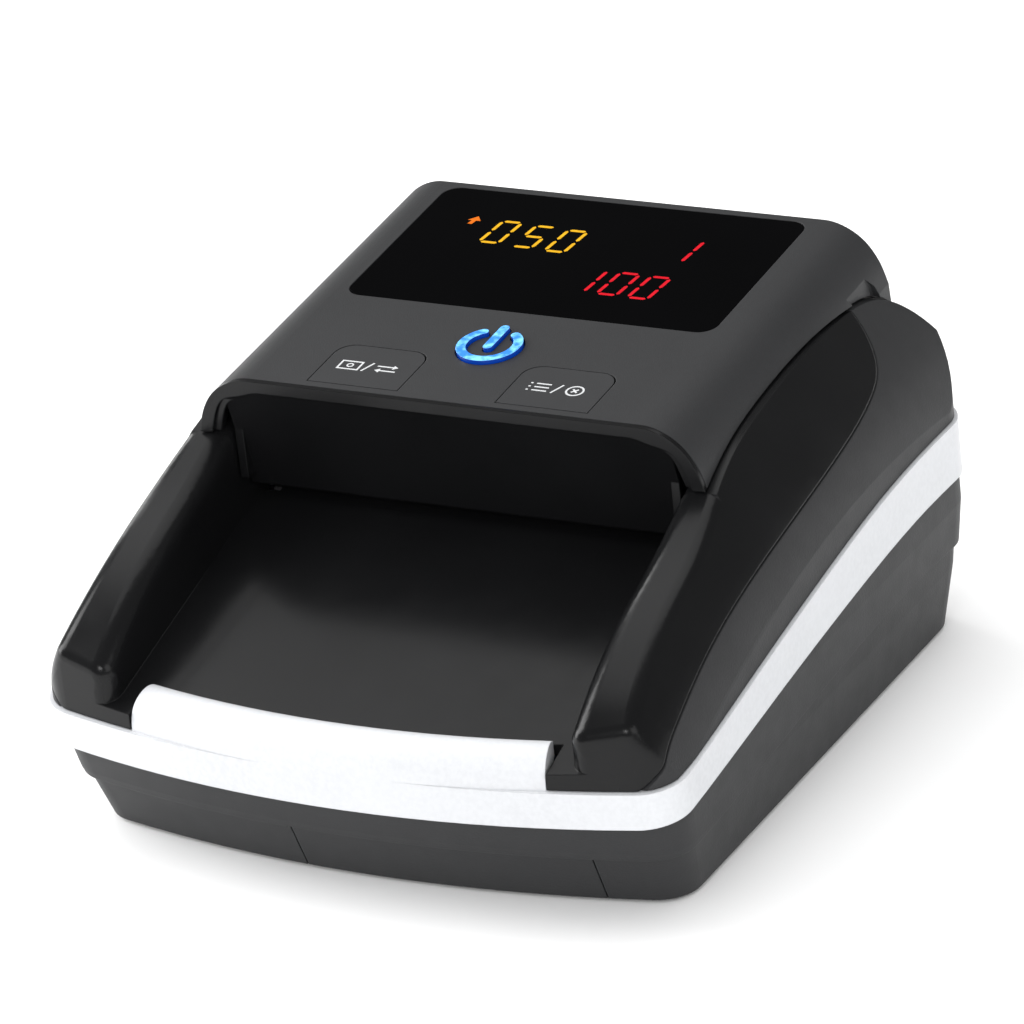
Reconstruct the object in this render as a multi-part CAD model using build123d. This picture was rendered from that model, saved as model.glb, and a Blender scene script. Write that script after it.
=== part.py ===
"""Desktop banknote counting machine: a front feed tray, a hinged head with display and keys,
a roller drive under the note path and a two-part housing joined by a light trim band."""
import os
from math import atan, cos, degrees, radians, sin, tan

from build123d import *

# Housing. X is to the right, -Y is the feed side, Z is up, and the origin is under the middle.
HALF_WIDTH = 69.3
FRONT_Y = -78.4
REAR_Y = 78.4
FRONT_BOW = 9.5
REAR_BOW = 5.0
FRONT_CORNER = 9.0
REAR_CORNER = 11.0
WALL = 2.2
SEAM = 0.4
CREST_RADIUS = 3.5
INNER_CREST_RADIUS = 4.0
CREST_END_Y = -18.4
BASE_BOTTOM = 1.0
TRIM_PROUD = 0.7
TRIM_THICKNESS = 3.0
TONGUE_CENTRE_Y = 133.0
TONGUE_ANGLE = 12.4
TONGUE_BACK_Y = -71.4
TONGUE_HALF = 45.8

# Shoulder surface: one cross-section turned about a far axis that is parallel to X.
SHOULDER_PEAK_Y = 35.0
SHOULDER_RADIUS = 250.0
SHOULDER_Z = 60.8

# Note path: a plane that climbs to the rear, measured along (s) and off (n) the plane.
PATH_ANGLE = 15.0
PATH_START = (0.0, -71.0, 34.0)
PATH_END_S = 142.0
WALL_END_S = 100.0
TRAY_HALF = 50.0
FLOOR_THICKNESS = 2.2
NOTE_GAP = 1.4
GUIDE_S = (67.0, 139.0)

# Head: a lid whose top plane also climbs a little to the rear (v is measured along it).
HEAD_SLOPE = degrees(atan(0.081))
HEAD_START = (0.0, -18.8, 80.6)
HEAD_LENGTH = 86.0
HEAD_INNER_HALF = 49.5
HINGE_Y = 65.0
HINGE_Z = 67.0
PIN_RADIUS = 1.5
LID_SWEEP_RADIUS = 5.2
LUG_X = (47.0, 49.4)

# Window and keys on the head.
WINDOW_HALF = 41.3
WINDOW_V = (36.8, 84.0)
WINDOW_THICKNESS = 1.4
WINDOW_CORNER = 3.8
KEY_X = (11.0, 31.0)
KEY_V = (2.2, 17.4)
KEY_CORNER = 4.0
KEY_GAP = 0.25
KEY_DEPTH = 3.2
POWER_X = -0.4
POWER_V = 22.2
POWER_RADIUS = 5.8
POWER_BAND = 2.0
POWER_OPEN_ANGLE = 38.0
POWER_BAR = (-1.8, 7.8)
POWER_TOP = 0.8

# Roller drive.
SHAFT_S = {"feed": 74.0, "transport": 95.0, "exit": 116.0}
DRIVE_RADIUS = 7.0
DRIVE_PROUD = 0.2
PINCH_RADIUS = 4.0
PINCH_LIFT = 0.3
ROLLER_X = 22.0
SENSOR_S = 105.5
MAGNET_S = 84.5
ROLLER_WIDTH = 10.0
SHAFT_RADIUS = 2.0
PINCH_SHAFT_RADIUS = 1.2
RUNNING_FIT = 0.06
PLATE_X = 44.0
PLATE_THICKNESS = 1.2
PULLEY_X = 48.0
PULLEY_RADIUS = 6.0
PULLEY_WIDTH = 3.6
BELT_WIDTH = 2.4
BELT_THICKNESS = 1.2
BELT_GAP = 0.08
BELT_SLOT_S = (65.0, 125.0)
MOTOR_Y = 22.0
MOTOR_Z = 25.0
MOTOR_RADIUS = 11.0
MOTOR_LENGTH = 30.0
MOTOR_PULLEY_RADIUS = 4.0

# Front access door in the base.
DOOR_X = (-14.0, 50.0)
DOOR_TOP = 12.4
DOOR_BACK_Y = -61.0
DOOR_GAP = 0.3

# Boards, battery and socket in the base.
BOARD_Z = 7.0
BOARD = ((-38.0, 38.0), (-10.0, 58.0))
BOARD_SCREWS = [(x, y) for x in (-34.0, 34.0) for y in (-6.0, 54.0)]
BATTERY_X = (-14.0, 39.0)
BATTERY_Y = (-58.0, -24.0)
BATTERY_Z = (BASE_BOTTOM + WALL + 0.1, 19.0)
JACK_X = -44.0
JACK_Z = 15.0
JACK_RADIUS = 3.6

# Feet, closing screws and display digits.
FOOT_XY = (48.0, 52.0)
FOOT_RADIUS = 4.5
SCREW_XY = (54.0, 30.0)
DIGITS_LEFT = [-24.2, -14.6, -5.0]
DIGITS_RIGHT = [7.2, 15.4, 23.6]
HEAD_POSTS = [(x, v, -6.4) for x in (-42.6, 42.6) for v in (40.0, 78.0)]
HEAD_POSTS += [(x, 26.5, -9.2) for x in (-30.0, 30.0)]

# Side profiles (y, z).
CREST = [(-84, 16), (-79, 30), (-76, 37.5), (-70, 43.5), (-60, 50), (-46, 56.5), (-32, 61.5), (-18.5, 67.3),
         (-5.6, 71.6), (8, 74), (21, 75.4), (35, 76.2), (45, 76.1), (55, 75.2), (63, 73),
         (70, 67.5), (75.5, 58), (78.5, 45), (80, 28)]
TRIM_TOP = [(-90, 29.5), (-70, 30.0), (-33, 35.8), (3, 41.8), (34, 45.6), (72, 46.2), (90, 45.5)]
TRIM_LOW = [(-90, 21.0), (-70, 22.2), (-25, 27.6), (16, 32.2), (47, 34.2), (73, 33.7), (90, 33.0)]
RIDGE = [(-90, 12.4), (-56, 12.9), (-16, 16.4), (39, 20.0), (72, 18.6), (90, 17.6)]
PANEL_SEAM = [(-74, 18), (-70.5, 29.5), (-66.3, 35.1), (-58, 40.2), (-48.5, 44.6), (-29, 51.0), (-5, 55.8),
              (20, 59.6), (38, 62.8), (47.5, 67.0), (50.5, 72.5), (50, 80), (48, 92)]

PATH = Plane(PATH_START, x_dir=(1, 0, 0), z_dir=(0, -sin(radians(PATH_ANGLE)), cos(radians(PATH_ANGLE))))
HEAD = Plane(HEAD_START, x_dir=(1, 0, 0), z_dir=(0, -sin(radians(HEAD_SLOPE)), cos(radians(HEAD_SLOPE))))
CENTRE_LOW = (Align.CENTER, Align.CENTER, Align.MIN)


def block(x, y, z):
    """An upright box between pairs of limits."""
    size = (x[1] - x[0], y[1] - y[0], z[1] - z[0])
    middle = ((x[0] + x[1]) / 2, (y[0] + y[1]) / 2, (z[0] + z[1]) / 2)
    return Pos(*middle) * Box(*size)


def rod(x, y, z, radius):
    """A round bar along X between two x values."""
    return Pos((x[0] + x[1]) / 2, y, z) * Rot(0, 90, 0) * Cylinder(radius, x[1] - x[0])


def mirrored(shape):
    """The shape and its mirror image across the middle plane."""
    return shape + mirror(shape, Plane.YZ)


def path_point(s, n):
    """The (y, z) of a point at s along the note path and n off it."""
    a = radians(PATH_ANGLE)
    return PATH_START[1] + s * cos(a) - n * sin(a), PATH_START[2] + s * sin(a) + n * cos(a)


def across(face, x):
    """Extrudes a face drawn in (y, z) between two x values."""
    return extrude(Plane.YZ.offset(x[0]) * face, x[1] - x[0])


def under(points, floor=-20.0):
    """The (y, z) face under a smooth curve."""
    curve = Spline(*points)
    sides = Polyline(points[-1], (points[-1][0], floor), (points[0][0], floor), points[0])
    return make_face([*curve.edges(), *sides.edges()])


def above(points, roof=120.0):
    """The (y, z) face over a smooth curve."""
    return under(points, roof)


def raised(points, step):
    """The same profile moved up."""
    return [(y, z + step) for y, z in points]


def outline(half, front, rear, bow=FRONT_BOW, shrink=0.0):
    """Plan outline of the housing, with a bowed front and rear and rounded corners."""
    near = front + bow
    far = rear - REAR_BOW
    edges = [ThreePointArc((-half, near), (0, front), (half, near)),
             Line((half, near), (half, far)),
             ThreePointArc((half, far), (0, rear), (-half, far)),
             Line((-half, far), (-half, near))]
    face = make_face([part.edge() for part in edges])
    face = fillet([v for v in face.vertices() if abs(v.Y - near) < 0.01], FRONT_CORNER - shrink)
    return fillet([v for v in face.vertices() if abs(v.Y - far) < 0.01], REAR_CORNER - shrink)


def plan_prism(inset=0.0):
    """Upright prism on the housing outline."""
    face = outline(HALF_WIDTH - inset, FRONT_Y + inset, REAR_Y - inset, shrink=inset)
    return extrude(Pos(0, 0, -10) * face, 130)


def shoulder_solid(inset=0.0):
    """The domed upper body: its cross-section narrows upwards and turns about the far axis."""
    def at(x, z):
        return (x - inset, z)
    side = [at(70.6, 30), at(70.4, 42), at(69.2, 51), at(66, SHOULDER_Z), at(61, 69.2), at(55.8, 76.6)]
    curve = Spline(*side)
    top = Polyline(side[-1], (0, side[-1][1] + 24 - inset), (0, -90), (side[0][0], -90), side[0])
    half = make_face([*curve.edges(), *top.edges()])
    section = Plane((0, SHOULDER_PEAK_Y, 0), x_dir=(1, 0, 0), z_dir=(0, -1, 0)) * half
    axis = Axis((0, SHOULDER_PEAK_Y, SHOULDER_Z - SHOULDER_RADIUS), (1, 0, 0))
    return mirrored(revolve(section, axis, 34) + revolve(section, axis, -16))


def hull(inset=0.0):
    """The upper housing as one closed solid."""
    body = shoulder_solid(inset) & plan_prism(inset)
    return body & across(under(raised(CREST, -inset)), (-80, 80))


def over_path(n, half, s=(-6.0, 170.0)):
    """Everything above a plane parallel to the note path."""
    return PATH * (Pos((0, (s[0] + s[1]) / 2, n)) * Box(2 * half, s[1] - s[0], 80, align=CENTRE_LOW))


def slab(s, n, half):
    """A plate that lies along the note path."""
    size = Box(2 * half, s[1] - s[0], n[1] - n[0], align=CENTRE_LOW)
    return PATH * (Pos(0, (s[0] + s[1]) / 2, n[0]) * size)


def base_levels(inset):
    """The drafted tub of the base between its bottom and the trim."""
    low = outline(66.0 - inset, -68.2 + inset, 74.8 - inset, 8.0, inset)
    mid = outline(68.0 - inset, -73.8 + inset, 77.0 - inset, 9.0, inset)
    high = outline(HALF_WIDTH - inset, FRONT_Y + 0.4 + inset, REAR_Y - inset, shrink=inset)
    lower = loft([Pos(0, 0, BASE_BOTTOM) * low, Pos(0, 0, 14) * mid], ruled=True)
    upper = loft([Pos(0, 0, 14) * mid, Pos(0, 0, 28) * high], ruled=True)
    return lower + upper + extrude(Pos(0, 0, 28) * high, 14)


def base_outer():
    """Outer form of the base: the lower tub steps in slightly under the ridge line."""
    inner = base_levels(0.9)
    proud = base_levels(0.0) & across(above(RIDGE), (-80, 80))
    return (inner + proud) & across(under(TRIM_LOW), (-80, 80))


def door_zone(gap):
    """The opening of the front access door, or the door itself when the gap is positive."""
    return block((DOOR_X[0] + gap, DOOR_X[1] - gap), (-90, DOOR_BACK_Y - gap), (-1, DOOR_TOP - gap))


def base_cavity():
    """Inside of the base."""
    return base_levels(0.9 + WALL) & block((-80, 80), (-90, 90), (BASE_BOTTOM + WALL, 60))


def standoff(x, y, z, radius=3.0):
    """A round post between two heights."""
    return Pos(x, y, (z[0] + z[1]) / 2) * Cylinder(radius, z[1] - z[0])


def corner_points(x, y):
    """The four mirrored plan points."""
    return [(i * x, j * y) for i in (-1, 1) for j in (-1, 1)]


def make_base_shell():
    """Lower tub with feet pockets, board posts, motor cradle, plate slots and the rear socket opening."""
    shell = base_outer() - base_cavity()
    floor = BASE_BOTTOM + WALL
    shell -= door_zone(0.0)
    for x, y in corner_points(*FOOT_XY):
        shell += standoff(x, y, (BASE_BOTTOM, floor + 1.2), 6.0)
        shell -= standoff(x, y, (-1, BASE_BOTTOM + 1.4), FOOT_RADIUS + 0.1)
    for x, y in corner_points(*SCREW_XY):
        shell += standoff(x, y, (floor - 0.5, 24), 3.4)
        shell -= standoff(x, y, (-1, 16), 1.7)
        shell -= standoff(x, y, (-1, 5), 2.9)
    for x, y in BOARD_SCREWS:
        shell += standoff(x, y, (floor - 0.5, BOARD_Z), 2.6)
    shell += mirrored(block((PLATE_X - 1.2, PLATE_X + PLATE_THICKNESS + 1.2), (-14, 54), (floor - 0.5, 6.5)))
    shell -= mirrored(block((PLATE_X, PLATE_X + PLATE_THICKNESS), (-15, 55), (4.5, 8)))
    shell += battery_tray()
    shell -= rear_socket_hole()
    return shell


def battery_tray():
    """Low walls that hold the battery pack behind the access door."""
    x = (BATTERY_X[0] - 1.8, BATTERY_X[1] + 1.8)
    y = (BATTERY_Y[0], BATTERY_Y[1] + 1.8)
    room = (BATTERY_X[0] - 0.3, BATTERY_X[1] + 0.3)
    walls = block(x, y, (2.5, 9)) - block(room, (y[0] - 1, BATTERY_Y[1] + 0.3),
                                          (2, 10))
    return walls & base_levels(2.0)


def rear_socket_hole():
    """Round hole for the power socket in the rear wall."""
    return Pos(JACK_X, 72, JACK_Z) * Rot(90, 0, 0) * Cylinder(JACK_RADIUS + 0.1, 20)


def make_dc_jack():
    """Barrel power socket with its flange inside the rear wall."""
    barrel = Pos(JACK_X, 70.6, JACK_Z) * Rot(90, 0, 0) * Cylinder(JACK_RADIUS, 9.0)
    case = block((JACK_X - 5, JACK_X + 5), (56, 67.5), (JACK_Z - 6.0, JACK_Z + 5.5))
    bore = Pos(JACK_X, 69.6, JACK_Z) * Rot(90, 0, 0) * Cylinder(2.9, 12.0)
    pin = Pos(JACK_X, 68.5, JACK_Z) * Rot(90, 0, 0) * Cylinder(0.9, 11.0)
    return barrel + case - bore + pin


def make_access_door():
    """Curved front panel of the base that pulls out forwards, with two guide rails."""
    panel = (base_outer() - base_cavity()) & door_zone(DOOR_GAP)
    rails = block((DOOR_X[0] + 1.2, DOOR_X[0] + 2.6), (-72.0, DOOR_BACK_Y - 0.5), (2.0, 10.4))
    rails += block((DOOR_X[1] - 2.6, DOOR_X[1] - 1.2), (-72.0, DOOR_BACK_Y - 0.5), (2.0, 10.4))
    return panel + (rails & base_levels(2.0))


def make_trim():
    """Light band round the housing, with the tongue that forms the tray's front lip."""
    ring = plan_prism(-TRIM_PROUD) - plan_prism(TRIM_THICKNESS - TRIM_PROUD)
    ring &= across(under(raised(TRIM_TOP, -0.15)) & above(raised(TRIM_LOW, 0.15)), (-80, 80))
    lip = [(-79.1, 24), (-79.1, 30.5), (-77.8, 34.4), (-75.4, 36.2), (-72.4, 36.6), (TONGUE_BACK_Y, 36.2),
           (TONGUE_BACK_Y, 33.0), (-74.2, 31.8), (-76.2, 29.0), (-76.2, 24)]
    curve = Spline(*lip[:6])
    back = Polyline(*lip[5:], lip[0])
    face = Plane.YZ * make_face([*curve.edges(), *back.edges()])
    start = Pos(0, TONGUE_CENTRE_Y, 0) * Rot(0, 0, -TONGUE_ANGLE) * Pos(0, -TONGUE_CENTRE_Y, 0) * face
    return ring + revolve(start, Axis((0, TONGUE_CENTRE_Y, 0), (0, 0, 1)), 2 * TONGUE_ANGLE)


def tray_zone(gap):
    """Everything on the tray side of the panel seam."""
    curve = [(y - gap, z + gap) for y, z in PANEL_SEAM]
    edge = Spline(*curve)
    far = Polyline(curve[-1], (-95, 92), (-95, 18), curve[0])
    return across(make_face([*edge.edges(), *far.edges()]), (-80, 80))


def inner_zone(gap):
    """The tray's share behind the panel seam: its inner side walls and its floor."""
    half = TRAY_HALF + WALL + gap
    walls = over_path(-FLOOR_THICKNESS - gap, half, (-6.0, WALL_END_S + gap))
    return walls + slab((WALL_END_S, PATH_END_S + gap), (-FLOOR_THICKNESS - gap, 0.1), TRAY_HALF + gap)


def tray_cavity():
    """Space over the tray floor between the inner walls."""
    return over_path(0, TRAY_HALF)


def is_outer_crest(edge):
    """Whether an edge lies on the outer crest of a side wall in front of the head."""
    point = edge.center()
    return point.Z > 33 and abs(point.X) > TRAY_HALF + 0.5 and point.Y < CREST_END_Y - 1


def is_inner_crest(edge):
    """Whether an edge is the upper rim of an inner side wall."""
    point = edge.center()
    floor_z = PATH_START[2] + (point.Y - PATH_START[1]) * tan(radians(PATH_ANGLE))
    return abs(abs(point.X) - TRAY_HALF) < 0.1 and edge.length > 30 and point.Z > floor_z + 10


def crested_body():
    """The upper housing with the tray cut out and soft crests on its side walls."""
    body = hull() - tray_cavity()
    front = body & block((-80, 80), (-90, CREST_END_Y), (-30, 120))
    rear = body & block((-80, 80), (CREST_END_Y, 90), (-30, 120))
    front = fillet([e for e in front.edges() if is_inner_crest(e)], INNER_CREST_RADIUS)
    front = fillet([e for e in front.edges() if is_outer_crest(e)], CREST_RADIUS)
    rear = fillet([e for e in rear.edges() if is_inner_crest(e)], INNER_CREST_RADIUS)
    return front + rear


def upper_skin():
    """Wall-thick upper housing with its inner side walls beside the note path and the path's floor."""
    return crested_body() - (hull(WALL) - over_path(-FLOOR_THICKNESS, TRAY_HALF + WALL))


def roller_slots(half, height):
    """Openings for the rollers in a guide plate."""
    slots = Part()
    for s in SHAFT_S.values():
        for x in (-ROLLER_X, ROLLER_X):
            slots += PATH * (Pos(x, s, 0) * Box(ROLLER_WIDTH + 1.6, 2 * half, height))
    return slots


def hinge_notch():
    """Slots in the tray floor for the head's hinge lugs."""
    return mirrored(block((LUG_X[0] - 0.6, TRAY_HALF + 0.2), (57, 90), (58, 80)))


def behind_tongue():
    """Everything behind the curved rear edge of the tongue."""
    reach = TONGUE_CENTRE_Y - TONGUE_BACK_Y - 0.3
    return Pos(0, TONGUE_CENTRE_Y, 0) * Cylinder(reach, 200)


def make_feed_tray():
    """Glossy inner tray: side panels, inner walls and the floor that is the lower guide."""
    tray = upper_skin() & (tray_zone(SEAM / 2) + inner_zone(0.0))
    tray &= across(above(raised(TRIM_TOP, 0.15)), (-80, 80))
    tray -= block((-TONGUE_HALF, TONGUE_HALF), (-90, -60), (20, 50)) - behind_tongue()
    tray -= roller_slots(5.8, 10)
    tray -= PATH * block((-PULLEY_X - 2.4, -PULLEY_X + 2.0), BELT_SLOT_S, (-5, 2))
    tray -= slab((SENSOR_S - 4.2, SENSOR_S + 4.2), (-1.2, 1), 36.2)
    tray -= slab((SENSOR_S - 2.5, SENSOR_S + 2.5), (-5, 1), 34)
    tray -= slab((MAGNET_S - 3.2, MAGNET_S + 3.2), (-5, 1), 10.2)
    tray -= hinge_notch()
    return tray


def make_outer_cover():
    """Matt outer shell: both shoulders and the rear, with bosses for the hinge pins."""
    cover = upper_skin() - tray_zone(-SEAM / 2) - inner_zone(0.2)
    cover &= across(above(raised(TRIM_TOP, 0.15)), (-80, 80))
    cover += slab((128, 170), (-FLOOR_THICKNESS, 0), 60) & hull(0.4)
    cover -= slab((0, PATH_END_S + 0.2), (-FLOOR_THICKNESS - 0.2, 5), TRAY_HALF + 0.2)
    cover -= mirrored(block((LUG_X[0] - 0.6, TRAY_HALF), (57, 76), (58, 80)))
    lid_sweep = rod((LUG_X[0] - 1.2, 56.8), HINGE_Y, HINGE_Z, LID_SWEEP_RADIUS)
    cover -= mirrored(lid_sweep & block((0, 80), (HINGE_Y + 4.0, 80), (50, 80)))
    for side in (-1, 1):
        x = sorted((side * TRAY_HALF, side * 55.0))
        boss = rod(x, HINGE_Y, HINGE_Z, 4.0) & hull()
        hole = rod(sorted((side * 40, side * 54.0)), HINGE_Y, HINGE_Z, PIN_RADIUS)
        cover = cover + boss - hole
    return cover


def make_hinge_pins():
    """Steel pins that stand out of the outer cover into the head's lugs."""
    return mirrored(rod((LUG_X[0] - 0.3, 54.0), HINGE_Y, HINGE_Z, PIN_RADIUS))


def head_section(inset=0.0):
    """Cross-section of the head: a flat top that rolls over into steep sides."""
    right = [(43.5, 0), (48.2, -1.1), (52.2, -4.0), (54.9, -8.4), (56.3, -13.2)]
    points = [(x - inset, z - inset * (1.0 if x < 50 else 0.35)) for x, z in right]
    curve = Spline(*points, tangents=[(1, 0), (0.25, -1)])
    foot = (points[-1][0] + 0.3, -32.0)
    line = Polyline(points[-1], foot, (0, foot[1]), (0, points[0][1]), points[0])
    half = make_face([*curve.edges(), *line.edges()])
    return half + mirror(half, Plane.YZ)


def head_bar(v, inset=0.0):
    """The head's cross-section run along its top plane between two v values."""
    plane = Plane(HEAD.origin, x_dir=(1, 0, 0), z_dir=HEAD.y_dir)
    face = plane * (mirror(head_section(inset), Plane.XZ))
    bar = extrude(face, v[1] - v[0])
    return Pos(*(HEAD.y_dir * v[0])) * bar


def plate_on_head(x, v, w, corner=0.0):
    """A plate in the head's own frame, with rounded corners where asked."""
    face = Rectangle(x[1] - x[0], v[1] - v[0])
    if corner:
        face = fillet(face.vertices(), corner)
    return HEAD * (Pos((x[0] + x[1]) / 2, (v[0] + v[1]) / 2, w[0]) * extrude(face, w[1] - w[0]))


def key_shape(x, gap, w):
    """A key with square front corners and round rear corners."""
    face = Rectangle(x[1] - x[0] + 2 * gap, KEY_V[1] - KEY_V[0] + 2 * gap)
    face = fillet(face.vertices().sort_by(Axis.Y)[2:], KEY_CORNER)
    place = Pos((x[0] + x[1]) / 2, (KEY_V[0] + KEY_V[1]) / 2, w[0])
    return HEAD * (place * extrude(face, w[1] - w[0]))


def power_face(gap):
    """The power sign: an open ring with a bar in its opening."""
    band = POWER_BAND / 2 + gap
    ring = Circle(POWER_RADIUS + band) - Circle(POWER_RADIUS - band)
    reach = 2 * POWER_RADIUS
    side = reach * tan(radians(POWER_OPEN_ANGLE))
    ring -= make_face(Polyline((0, 0), (side, reach), (-side, reach), (0, 0)).edges())
    for angle in (90 - POWER_OPEN_ANGLE, 90 + POWER_OPEN_ANGLE):
        place = Pos(POWER_RADIUS * cos(radians(angle)), POWER_RADIUS * sin(radians(angle)))
        ring += place * Circle(band)
    length = POWER_BAR[1] - POWER_BAR[0]
    bar = Pos(0, sum(POWER_BAR) / 2) * SlotOverall(length + 2 * gap, 2 * band, rotation=90)
    return ring + bar


def power_shape(gap, w):
    """A plate in the form of the power sign, in the head's own frame."""
    return HEAD * (Pos(POWER_X, POWER_V, w[0]) * extrude(power_face(gap), w[1] - w[0]))


def head_seam_zone():
    """Everything over the seam between the head and the housing."""
    return across(above(raised(CREST[6:], 0.5) + [(92, 20)]), (-80, 80))


def make_head_cover():
    """Hinged upper shell with the window, key and power openings and a grip facet on each side."""
    shell = head_bar((0.2, HEAD_LENGTH)) - head_bar((-5, HEAD_LENGTH - WALL), WALL)
    shell &= head_seam_zone() & block((-70, 70), (-30, 80), (60, 100))
    shell -= mirrored(block((-46, 46), (40, 80), (60, 74.2)))
    window_u = (-WINDOW_HALF - 0.15, WINDOW_HALF + 0.15)
    shell -= plate_on_head(window_u, (WINDOW_V[0] - 0.15, WINDOW_V[1] + 0.15),
                           (-5, 5), WINDOW_CORNER)
    for x in (KEY_X, (-KEY_X[1], -KEY_X[0])):
        shell -= key_shape(x, KEY_GAP, (-5, 5))
    shell -= power_shape(KEY_GAP, (-5, 5))
    for side in (-1, 1):
        lug_x = sorted((side * LUG_X[0], side * LUG_X[1]))
        lug = rod(lug_x, HINGE_Y, HINGE_Z, 3.6)
        lug += block(lug_x, (HINGE_Y - 3.6, HINGE_Y + 2.6), (HINGE_Z, 79))
        lug += block(sorted((side * LUG_X[0], side * 54.5)), (HINGE_Y - 3.6, HINGE_Y + 2.0), (77.4, 79.4))
        shell += lug - rod(sorted((side * 40, side * 50)), HINGE_Y, HINGE_Z, PIN_RADIUS + RUNNING_FIT)
    for x, v, w in HEAD_POSTS:
        shell += HEAD * (Pos(x, v, w) * Cylinder(1.1, -w - 1.0, align=CENTRE_LOW))
    return shell - grip_facets()


def grip_facets():
    """Shallow three-sided recesses low on the rear of the head's sides."""
    corners = [(49, 80.6), (56.5, 82.1), (62.5, 76.0), (64, 72), (54, 74), (49, 80.6)]
    face = make_face(Polyline(*corners).edges())
    return mirrored(across(face, (54.9, 60)))


def make_head_bezel():
    """Front frame of the head: a thin lip and the recessed face that guides the note in."""
    ring = head_bar((-1.0, 0.0)) - head_bar((-9, 9), 2.6)
    ring += head_bar((-0.2, 2.0), WALL + 0.2) - head_bar((-9, 9), WALL + 1.8)
    face = make_face(Polyline((-19.4, 78.4), (-17.6, 78.6), (-10.4, 55.6), (-7.6, 53.2), (-8.8, 52.0),
                              (-12.8, 54.6), (-19.4, 78.4)).edges())
    apron = across(face, (-HEAD_INNER_HALF, HEAD_INNER_HALF)) & head_bar((-20, 40), 2.4)
    wings = mirrored(block((HEAD_INNER_HALF - 1.8, HEAD_INNER_HALF), (-16.5, -4), (56, 74))
                     & across(above([(-20, 57), (-10, 58), (0, 60)]), (-80, 80)))
    top = across(above(raised(CREST[4:], 0.5) + [(92, 20)]), (-80, 80))
    inner = block((-HEAD_INNER_HALF, HEAD_INNER_HALF), (-40, 40), (40, 100))
    return (ring & (top + inner)) + apron + wings


def make_upper_guide():
    """Plate over the note path that carries the pinch rollers."""
    plate = slab(GUIDE_S, (NOTE_GAP, NOTE_GAP + 1.6), 45.5)
    plate += slab(GUIDE_S, (NOTE_GAP, 6.0), 45.5) - slab((60, 142), (0, 9), 44.0)
    hangers = block((44.0, 45.5), (-2, 6), (50, 100)) + block((44.0, 45.5), (50, 58), (60, 100))
    hangers &= over_path(NOTE_GAP + 0.4, 60) & plate_on_head((-60, 60), (-10, 90), (-60, -WALL - 1.0))
    plate += mirrored(hangers)
    plate -= roller_slots(4.2, 20)
    plate -= slab((SENSOR_S - 4.2, SENSOR_S + 4.2), (NOTE_GAP - 1, NOTE_GAP + 1.2), 36.2)
    for s in SHAFT_S.values():
        for x in (-33.0, 33.0):
            plate += carrier(x, s)
    return plate


def pinch_n():
    """Height of the pinch axles over the path."""
    return DRIVE_PROUD + PINCH_LIFT + PINCH_RADIUS


def carrier(x, s):
    """Slotted post that holds one end of a pinch axle."""
    low = NOTE_GAP + 0.2
    post = PATH * (Pos(x, s, low) * Box(3.0, 6.0, 7.2 - low, align=CENTRE_LOW))
    y, z = path_point(s, pinch_n())
    return post - rod((x - 3, x + 3), y, z, PINCH_SHAFT_RADIUS + RUNNING_FIT)


def make_window():
    """Dark tinted display window."""
    return plate_on_head((-WINDOW_HALF, WINDOW_HALF), WINDOW_V, (-WINDOW_THICKNESS, -0.05), WINDOW_CORNER)


def make_display_board():
    """Display board on posts behind the window."""
    return plate_on_head((-43.6, 43.6), (35.5, 82.0), (-7.6, -6.4), 1.0)


def make_digit_modules():
    """Seven-segment blocks on the display board: the upper row and the lower row."""
    blocks = Part()
    for x in DIGITS_LEFT + DIGITS_RIGHT[2:]:
        blocks += plate_on_head((x - 4.4, x + 4.4), (60.4, 73.6), (-6.4, -1.8))
    for x in DIGITS_RIGHT:
        blocks += plate_on_head((x - 4.0, x + 4.0), (45.6, 58.8), (-6.4, -1.8))
    return blocks


def make_key_board():
    """Key board under the two keys and the power key."""
    board = plate_on_head((-36, 36), (5.5, 30.0), (-10.4, -9.2), 1.0)
    for x in (-30.0, 30.0):
        board -= HEAD * (Pos(x, 26.5, -11) * Cylinder(0.9, 6))
    return board


def make_key(x):
    """One key cap with its stem."""
    cap = key_shape(x, 0.0, (-KEY_DEPTH, 0.0))
    middle = ((x[0] + x[1]) / 2, (KEY_V[0] + KEY_V[1]) / 2)
    stem = HEAD * (Pos(middle[0], middle[1], -6.6) * Cylinder(2.2, 3.6, align=CENTRE_LOW))
    return cap + stem


def make_power_key():
    """Clear power key: the raised sign stands on a carrier disc under the head's top."""
    sign = power_shape(0.0, (-3.2, POWER_TOP))
    disc = HEAD * (Pos(POWER_X, POWER_V, -4.4) * Cylinder(8.2, 1.4, align=CENTRE_LOW))
    stem = HEAD * (Pos(POWER_X, POWER_V, -6.6) * Cylinder(2.2, 2.6, align=CENTRE_LOW))
    return sign + disc + stem


def make_switch(x, v):
    """Tact switch with a soft dome, under a key stem."""
    case = HEAD * (Pos(x, v, -9.2) * Box(6, 6, 1.4, align=CENTRE_LOW))
    return case


def make_dome(x, v):
    """Rubber return dome between the switch and the key stem."""
    return HEAD * (Pos(x, v, -7.8) * Cone(2.4, 1.6, 0.4, align=CENTRE_LOW))


def shaft_place(name):
    """Axis (y, z) of a drive shaft."""
    return path_point(SHAFT_S[name], DRIVE_PROUD - DRIVE_RADIUS)


def make_drive_shaft(name):
    """Steel drive shaft across both side plates."""
    y, z = shaft_place(name)
    return rod((-PULLEY_X - 2.6, PLATE_X + 4), y, z, SHAFT_RADIUS)


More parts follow.
